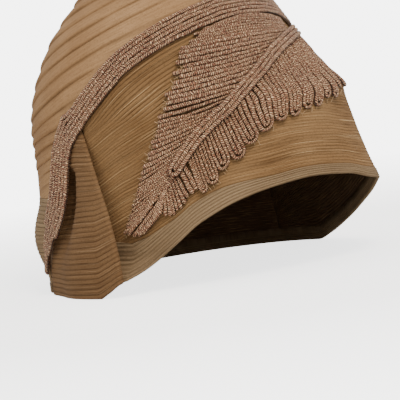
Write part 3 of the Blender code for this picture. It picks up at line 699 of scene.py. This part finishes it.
def makeHem(cloth):
    # Two layers of cloth: the outer face from the top down, round the folded edge, the inner
    # face up, and back between the layers.
    outer = np.linspace(1, 0.10, ribs["hem"] * ribs["rows"])
    section = [(s, 1.0, s) for s in outer]
    section += [(0.05, 0.93, 0.05), (0.02, 0.78, 0.02), (0.0, 0.5, 0.0), (0.02, 0.22, 0.0)]
    section += [(0.05, 0.07, 0.0)] + [(s, 0.0, 0.0) for s in np.linspace(0.1, 1, 6)]
    section += [(1.0, 0.0, 1.0), (1.0, 0.38, 1.0)]
    section += [(s, 0.42, 0.0) for s in (0.9, 0.5, 0.14)] + [(0.11, 0.5, 0.11)]
    section += [(s, 0.58, s) for s in (0.14, 0.5, 0.9, 1.0)]
    way = np.array([s[0] for s in section])[:, None]
    side = np.array([s[1] for s in section])[:, None]
    outside = (side > 0.99).astype(float)
    start = earLine[0][1] - 360 + 0.4
    turn = np.linspace(start, form["panelEnd"], 248)[None, :]
    rough = hemWidth(turn) * way + edgeHeight(turn)
    turn = tuckedUnder(turn, rough, ribs["hemTucked"])
    edge = edgeHeight(np.minimum(turn, pleatSections[0][1]))
    turned = np.array([s[2] for s in section])[:, None] * (side < 0.5) * ribs["turnedUp"]
    height = edge + hemWidth(turn) * way + turned
    v = way * ribs["hem"] + 0 * turn
    v = v * (1 + 0.9 * tableAt(hemLine, turn))
    lift = np.minimum(hemFlare(turn, height), belowReturn(turn, height, form["hemWall"]))
    lift = lift + form["hemWall"] * side + (ribLift(v) - ribs["depth"] / 2) * outside
    grid = hatPoint(turn, latitudeOf(height), lift)
    grid[..., 2] = np.maximum(grid[..., 2], 0.0)
    grid = np.concatenate([grid, grid[:1]], axis=0)
    uvs = np.stack([lengthsAlong(grid), np.concatenate([v, v[:1]])], axis=-1)
    rows, width = grid.shape[:2]
    index = np.arange(rows * width).reshape(rows, width)
    quads = np.stack([index[:-1, :-1], index[:-1, 1:], index[1:, 1:], index[1:, :-1]], axis=-1)
    quads = quads.reshape(-1, 4).tolist()
    caps = [index[:-1, 0].tolist(), index[:-1, -1][::-1].tolist()]
    points = grid.reshape(-1, 3)
    obj = meshPiece("brim_hem_cloth", points, quads + caps, uvs.reshape(-1, 2), [cloth])
    return settle(obj, "ribbed_cloth", "brim_hem")


cord = {"radius": 0.00132, "step": 0.0009, "sides": 8, "flat": 0.92, "wobble": 0.00016,
        "fill": 0.52, "narrowest": 0.0009, "widest": 0.0019}


def tube(points, normals, radius, sides, step, twist, wobble=0.0, spread=None):
    # A tube along evenly spaced points, as wide as its spread where that is given; returns
    # its vertices, faces and UVs.
    steps = np.linalg.norm(np.diff(points, axis=0), axis=1)
    way = np.concatenate([[0], np.cumsum(steps)])
    count = max(int(way[-1] / step), 3)
    even = np.linspace(0, way[-1], count + 1)
    line = np.stack([np.interp(even, way, points[:, i]) for i in range(3)], axis=-1)
    up = np.stack([np.interp(even, way, normals[:, i]) for i in range(3)], axis=-1)
    along = np.gradient(line, axis=0)
    along /= np.linalg.norm(along, axis=1, keepdims=True) + 1e-12
    side = np.cross(up, along)
    side /= np.linalg.norm(side, axis=1, keepdims=True) + 1e-12
    up = np.cross(along, side)
    if wobble:
        line = line + side * (wobble * waves(even * 300, 3, 0.5, 2.5))[:, None]
        line = line + up * (wobble * waves(even * 300, 3, 0.5, 2.5))[:, None]
    angle = np.arange(sides) * math.tau / sides
    size = radius * (1 + 0.07 * waves(even * 900, 3, 0.7, 2.0))
    ends = np.minimum(np.minimum(even, even[::-1]) / radius, 1.0)
    size = size * np.sqrt(1 - (1 - ends) ** 2 * 0.85)
    wide = np.ones(len(even)) if spread is None else np.interp(even, way, spread) / radius
    ring = (
        side[:, None, :] * np.cos(angle)[None, :, None] * wide[:, None, None]
        + up[:, None, :] * (np.sin(angle) * cord["flat"])[None, :, None]
    )
    points = line[:, None, :] + ring * size[:, None, None]
    rows = len(line)
    index = np.arange(rows * sides).reshape(rows, sides)
    after = np.roll(index, -1, axis=1)
    quads = np.stack([index[:-1], after[:-1], after[1:], index[1:]], axis=-1).reshape(-1, 4)
    u = np.repeat(even[:, None], sides, axis=1) + random.uniform(0, 1)
    v = np.repeat((twist * np.arange(sides) / sides)[None, :], rows, axis=0)
    uvs = np.stack([u, v], axis=-1).reshape(-1, 2)
    return points.reshape(-1, 3), quads, uvs, (index[0][::-1], index[-1])


def joinTubes(name, tubes, material):
    # The tubes as one mesh, with a cap at each end; V runs on past the last side.
    points = []
    faces = []
    cornerUvs = []
    offset = 0
    for verts, quads, uvs, caps in tubes:
        points.append(verts)
        sides = len(caps[0])
        corner = uvs[quads].copy()
        last = np.arange(len(quads)) % sides == sides - 1
        turnShare = (uvs[1, 1] - uvs[0, 1]) * sides
        corner[last, 1, 1] += turnShare
        corner[last, 2, 1] += turnShare
        faces += (quads + offset).tolist()
        cornerUvs.append(corner.reshape(-1, 2))
        for cap in caps:
            faces.append((cap + offset).tolist())
            cornerUvs.append(uvs[cap])
        offset += len(verts)
    mesh = bpy.data.meshes.new(name)
    mesh.from_pydata(np.vstack(points).tolist(), [], faces)
    layer = mesh.uv_layers.new(name="UVMap")
    layer.data.foreach_set("uv", np.vstack(cornerUvs).astype(np.float32).ravel())
    mesh.materials.append(material)
    mesh.shade_smooth()
    obj = bpy.data.objects.new(name, mesh)
    bpy.context.scene.collection.objects.link(obj)
    return obj


def laidCord(turn, latitude, lift, twist=1, radius=None, beside=None):
    # A cord lying on the hat along turns and latitudes, its middle lifted off the surface.
    # It fills half the way to the place beside it, where that is given.
    turn, latitude, lift = np.broadcast_arrays(turn, latitude, lift)
    point, normal, _, _ = surfaceFrame(turn, latitude)
    line = point + normal * lift[..., None]
    spread = None
    if beside is not None:
        along = np.gradient(point, axis=0)
        along /= np.linalg.norm(along, axis=1, keepdims=True)
        apart = np.linalg.norm(np.cross(along, basePoint(*beside) - point), axis=1)
        spread = np.clip(apart * cord["fill"], cord["narrowest"], cord["widest"])
    return tube(line, normal, radius or cord["radius"], cord["sides"], cord["step"], twist,
                cord["wobble"], spread)


def besidePath(turn, latitude, offset):
    # Turns and latitudes of a line beside a path, offset to its left in metres.
    point, normal, _, _ = surfaceFrame(turn, latitude)
    along = np.gradient(point, axis=0)
    along /= np.linalg.norm(along, axis=1, keepdims=True)
    across = np.cross(normal, along)
    offset = np.broadcast_to(np.asarray(offset, float), turn.shape)
    return shifted(turn, latitude, across * offset[:, None])


braid = {"width": 0.0155, "rows": 6, "pinch": 84.1, "endWidth": 0.0150, "endRows": 6}


def onCloth(lift=0.0):
    return form["wall"] + form["layGap"] + cord["radius"] + lift


def makeSeamBraid(material):
    turn = np.linspace(form["leftEnd"] + 1.5, braid["pinch"], 270)
    latitude = latitudeOf(seamHeight(turn))
    pitch = braid["width"] / braid["rows"]
    tubes = []
    for row in range(braid["rows"]):
        offset = (row - (braid["rows"] - 1) / 2) * pitch
        offset = offset + 0.00025 * waves(turn * 0.2, 3, 0.4, 2)
        beside = besidePath(turn, latitude, offset)
        tubes.append(laidCord(*beside, onCloth(), 1 if row % 2 else -1))
    obj = joinTubes("seam_braid_cords", tubes, material)
    return settle(obj, "braided_cord", "seam_braid")


def keyed(table):
    return [(index / (len(table) - 1),) + row for index, row in enumerate(table)]


def makeEndBraid(material):
    share = np.linspace(0, 1, 120)
    table = keyed(endBraid)
    turn = tableAt(table, share, 1)
    latitude = latitudeOf(form["seamRise"] * tableAt(table, share, 2))
    width = braid["endWidth"] * tableAt(table, share, 3)
    lift = onCloth(form["braidRise"] * smoothStep(share, 0.0, 0.6))
    tubes = []
    for row in range(braid["endRows"]):
        place = (row + 0.5) / braid["endRows"] - 0.5
        kept = share <= 1 - 0.10 * abs(row - 2.5)
        beside = besidePath(turn, latitude, width * place)
        radius = cord["radius"] * (1.15 if row in (0, 5) else 1.08)
        twist = 1 if row % 2 else -1
        tubes.append(laidCord(beside[0][kept], beside[1][kept], lift[kept], twist, radius))
    obj = joinTubes("end_braid_cords", tubes, material)
    return settle(obj, "braided_cord", "end_braid")


leaf = {"upperCords": 46, "groups": 14, "lobeCords": 10, "midribPitch": 0.0025, "ragged": 0.05,
        "topArch": 2.9, "scallop": 0.033, "bend": 0.0055, "loops": (0.76, 0.26), "uneven": 0.08}


def leafPlace(table, key, way):
    # Turn and latitude at a share along a leaf table and a share of the way across.
    rows = keyed(table)
    turnA = tableAt(rows, key, 1)
    turnB = tableAt(rows, key, 3)
    heightA = form["seamRise"] * tableAt(rows, key, 2)
    heightB = form["seamRise"] * tableAt(rows, key, 4)
    return turnA + (turnB - turnA) * way, latitudeOf(heightA + (heightB - heightA) * way)


def makeLeafUpper(material):
    tubes = []
    for i in range(leaf["upperCords"]):
        key = (i + 0.5) / leaf["upperCords"]
        way = np.linspace(-leaf["ragged"] * random.uniform(-0.6, 1.4), 1.02, 60)
        arch = np.sin(math.pi * np.clip(way, 0, 1))
        turn, latitude = leafPlace(leafUpper, key + 0.004 * arch, way)
        latitude = latitude + leaf["topArch"] * arch * smoothStep(key, 0.3, 0.0)
        lift = onCloth(0.0002 * random.uniform(-1, 1))
        nextKey = key + 1 / leaf["upperCords"]
        beside = leafPlace(leafUpper, nextKey + 0.004 * arch, way)
        beside = (beside[0], beside[1] + leaf["topArch"] * arch * smoothStep(nextKey, 0.3, 0.0))
        tubes.append(laidCord(turn, latitude, lift, 1 if i % 2 else -1, beside=beside))
    for turnA, heightA, turnB, heightB in leafTip:
        way = np.linspace(0, 1, 30)
        height = form["seamRise"] * (heightA + (heightB - heightA) * way)
        tubes.append(laidCord(turnA + (turnB - turnA) * way, latitudeOf(height), onCloth()))
    obj = joinTubes("leaf_upper_strands", tubes, material)
    return settle(obj, "braided_cord", "leaf_upper_cords")


def makeLeafLower(material):
    # Scallops: in each group one cord loops round another, with its bend at the edge.
    tubes = []
    count = leaf["groups"]
    for group in range(count):
        centre = (group + 0.5) / count
        half = 0.5 / count
        bendWay = leaf["bend"] / leaf["scallop"]
        reach = 1.0 + leaf["uneven"] * random.uniform(-1, 1)
        for inner in leaf["loops"]:
            angle = np.linspace(0, math.pi, 24)
            topWay = reach - bendWay * (1 - inner)
            down = np.linspace(0.0, topWay - bendWay * inner, 40)
            key = np.concatenate([
                np.full(40, centre - half * inner), centre - half * inner * np.cos(angle),
                np.full(40, centre + half * inner),
            ])
            way = np.concatenate([
                down, topWay - bendWay * inner + bendWay * inner * np.sin(angle), down[::-1],
            ])
            turn, latitude = leafPlace(leafLower, key, way)
            tilt = 0.0007 * (key - centre) / half * smoothStep(way, 0.2, 1.0)
            tilt = tilt + 0.0003 * waves(way * 6, 2, 0.5, 2)
            beside = leafPlace(leafLower, key + half * 0.5, way)
            tubes.append(laidCord(turn, latitude, onCloth(0.0002) + tilt, 1 if inner > 0.5 else -1,
                                  beside=beside))
    obj = joinTubes("leaf_lower_strands", tubes, material)
    return settle(obj, "braided_cord", "leaf_lower_cords")


def makeLeafLobe(material):
    tubes = []
    for i in range(leaf["lobeCords"]):
        key = (i + 0.5) / leaf["lobeCords"]
        way = np.linspace(0, 1.0 + 0.06 * random.uniform(-1, 1), 24)
        turn, latitude = leafPlace(leafLobe, key, way)
        beside = leafPlace(leafLobe, key + 1 / leaf["lobeCords"], way)
        tubes.append(laidCord(turn, latitude, onCloth(), 1 if i % 2 else -1, beside=beside))
    obj = joinTubes("leaf_lobe_strands", tubes, material)
    return settle(obj, "braided_cord", "leaf_lobe")


def evened(rows, reach=14):
    # Rows of points or directions, each averaged with those near it.
    ends = np.repeat(rows[:1], reach, axis=0), np.repeat(rows[-1:], reach, axis=0)
    padded = np.concatenate([ends[0], rows, ends[1]])
    kernel = np.hanning(2 * reach + 3)[1:-1]
    kernel /= kernel.sum()
    return np.stack([np.convolve(padded[:, i], kernel, "valid") for i in range(3)], axis=-1)


def makeMidrib(material):
    # A middle cord, and one that runs down one side of it, round its foot and up the other.
    share = np.linspace(0, 0.965, 150)
    table = keyed(midrib)
    turn = tableAt(table, share, 1)
    latitude = latitudeOf(form["seamRise"] * tableAt(table, share, 2))
    point, normal, _, _ = surfaceFrame(turn, latitude)
    normal = evened(normal)
    normal /= np.linalg.norm(normal, axis=1, keepdims=True)
    line = evened(point + normal * onCloth(1.8 * cord["radius"]), 9)
    along = np.gradient(line, axis=0)
    along /= np.linalg.norm(along, axis=1, keepdims=True)
    across = np.cross(normal, along) * leaf["midribPitch"]
    angle = np.linspace(0, math.pi, 18)[1:-1, None]
    foot = line[-1] + across[-1] * np.cos(angle) + along[-1] * leaf["midribPitch"] * np.sin(angle)
    loop = np.concatenate([line + across, foot, (line - across)[::-1]])
    up = np.concatenate([normal, np.repeat(normal[-1:], len(foot), axis=0), normal[::-1]])
    sides, step, wobble = cord["sides"], cord["step"], cord["wobble"]
    tubes = [
        tube(line, normal, cord["radius"], sides, step, 1, wobble),
        tube(loop, up, cord["radius"] * 1.06, sides, step, -1, wobble),
    ]
    obj = joinTubes("leaf_midrib_strands", tubes, material)
    return settle(obj, "braided_cord", "leaf_midrib")


threads = {"radius": 0.00014, "above": 110, "below": 36, "reach": 0.0045, "pale": "#d8b88e",
           "soiled": "#9a7650"}


def makeThreads(material):
    # Frayed ends along the upper edge of the leaf, and a few at its scallops.
    tubes = []
    for i in range(threads["above"] + threads["below"]):
        key = random.uniform(0.0, 1.0)
        if i < threads["above"]:
            turn, latitude = leafPlace(leafUpper, key, np.array([0.02, -0.02]))
        else:
            turn, latitude = leafPlace(leafLower, key, np.array([0.96, 1.00]))
        point, normal, _, _ = surfaceFrame(turn, latitude)
        out = point[1] - point[0]
        out /= np.linalg.norm(out)
        side = np.cross(normal[0], out)
        way = np.linspace(0, 1, 9)[:, None]
        reach = threads["reach"] * random.uniform(0.3, 1.0)
        lean = random.uniform(-1.2, 1.2)
        line = (
            point[0]
            + normal[0] * (onCloth() + 0.001 * random.uniform(-0.8, 0.8) * (1 - way))
            + out * reach * way * math.cos(lean)
            + side * reach * (way * math.sin(lean) + way**2 * random.uniform(-0.5, 0.5))
            - normal[0] * 0.0010 * way
        )
        tubes.append(tube(line, np.repeat(normal[:1], 9, axis=0), threads["radius"], 4, 0.0006, 1))
    obj = joinTubes("leaf_frayed_threads", tubes, material)
    return settle(obj, "braided_cord")


view = {"azimuth": -41.0, "elevation": 2.5, "roll": 8.5, "distance": 1.3, "lens": 196.6,
        "target": (0.00502, 0.01073, 0.080), "aside": 0.00766, "down": 0.0395}


def addCamera():
    azimuth = math.radians(view["azimuth"])
    elevation = math.radians(view["elevation"])
    roll = math.radians(view["roll"])
    back = Vector((
        math.sin(azimuth) * math.cos(elevation),
        -math.cos(azimuth) * math.cos(elevation),
        math.sin(elevation),
    ))
    right = Vector((math.cos(azimuth), math.sin(azimuth), 0))
    up = back.cross(right)
    pictureRight = right * math.cos(roll) - up * math.sin(roll)
    pictureUp = right * math.sin(roll) + up * math.cos(roll)
    target = Vector(view["target"])
    place = target + back * view["distance"]
    aim = target + pictureRight * view["aside"] - pictureUp * view["down"]
    backward = (place - aim).normalized()
    across = pictureUp.cross(backward).normalized()
    turned = Matrix((across, backward.cross(across), backward)).transposed()
    camera = bpy.data.objects.new("camera", bpy.data.cameras.new("camera"))
    camera.data.lens = view["lens"]
    camera.data.sensor_width = 36
    camera.data.clip_end = 50
    camera.matrix_world = Matrix.Translation(place) @ turned.to_4x4()
    bpy.context.scene.collection.objects.link(camera)
    bpy.context.scene.camera = camera


stage = {"floor": "#e9e7e3", "grain": "#d4d2ce", "size": 3.0, "fadeFrom": 0.25, "fadeTo": 0.8,
         "world": 0.95, "backdrop": 6.0, "glow": 2.4}


def addFloor():
    # A pale matt floor that fades into the backdrop with distance.
    material, tree = addMaterial("pale_studio_floor")
    shader = tree.nodes["Principled BSDF"]
    place = addNode(tree, "ShaderNodeTexCoord").outputs["Object"]
    away = addNode(tree, "ShaderNodeVectorMath", {0: place}, operation="LENGTH").outputs["Value"]
    grain = noiseOf(tree, place, 40.0, 2.0)
    colour = mixColour(tree, rangeOf(tree, grain, 0.3, 0.7, 0.0, 0.05), linear(stage["floor"]),
                       linear(stage["grain"]))
    finishMaterial(material, colour, 0.95)
    shader.inputs["Emission Color"].default_value = linear("#ffffff")
    seen = addNode(tree, "ShaderNodeLightPath").outputs["Is Camera Ray"]
    tree.links.new(calc(tree, "MULTIPLY", seen, stage["glow"]), shader.inputs["Emission Strength"])
    clear = addNode(tree, "ShaderNodeBsdfTransparent")
    fade = rangeOf(tree, away, stage["fadeFrom"], stage["fadeTo"])
    mixed = addNode(tree, "ShaderNodeMixShader", {0: fade, 1: shader.outputs[0], 2: clear.outputs[0]})
    tree.links.new(mixed.outputs[0], tree.nodes["Material Output"].inputs["Surface"])
    bpy.ops.mesh.primitive_plane_add(size=stage["size"], location=(0, 0, -0.0003))
    floor = bpy.context.object
    floor.name = "floor"
    floor.data.materials.append(material)


def addLight(name, place, size, power, colour):
    light = bpy.data.lights.new(name, "AREA")
    light.shape = "DISK"
    light.size = size
    light.energy = power
    light.color = linear(colour)[:3]
    obj = bpy.data.objects.new(name, light)
    obj.location = place
    obj.rotation_mode = "QUATERNION"
    obj.rotation_quaternion = Vector(place).to_track_quat("Z", "Y")
    bpy.context.scene.collection.objects.link(obj)


def addStudio():
    world = bpy.data.worlds.new("studio")
    world.use_nodes = True
    # The backdrop is bright to the camera, and lights the hat less than it shows.
    tree = world.node_tree
    seen = addNode(tree, "ShaderNodeLightPath").outputs["Is Camera Ray"]
    strength = rangeOf(tree, seen, 0.0, 1.0, stage["world"], stage["backdrop"])
    tree.links.new(strength, tree.nodes["Background"].inputs["Strength"])
    tree.nodes["Background"].inputs["Color"].default_value = linear("#fbfbfa")
    bpy.context.scene.world = world
    addLight("key", (-0.45, -1.20, 1.7), 0.7, 28, "#fff6ea")
    addLight("fill", (0.9, -1.2, 0.6), 1.2, 2.5, "#f2f5ff")
    addFloor()


reverse = reverseMaterial()
tuckedCloth = tuckedClothMaterial()
panelCloth = ribbedClothMaterial("ribbed_silk_cloth", panelLook)
shadedPleatCloth = ribbedClothMaterial("ribbed_cloth_shaded_pleat", shadedPleatLook)
hemCloth = ribbedClothMaterial("ribbed_hem_cloth", hemLook)
silkCord = cordMaterial()
looseThread = threadMaterial()
print("materials made")

crownPiece = makeCrown(tuckedCloth, reverse)
panelPiece = makePanel(panelCloth, reverse)
pleatPiece = makePleat(shadedPleatCloth, reverse)
backPiece = makeBackBrim(hemCloth, reverse)
hemPiece = makeHem(hemCloth)
print("cloth made")

seamBraid = makeSeamBraid(silkCord)
makeEndBraid(silkCord)
onPanel = [makeLeafUpper(silkCord), makeLeafLower(silkCord), makeLeafLobe(silkCord)]
onPanel += [makeMidrib(silkCord), makeThreads(looseThread)]
print("cords made")
addCamera()
addStudio()
print("camera and studio made")
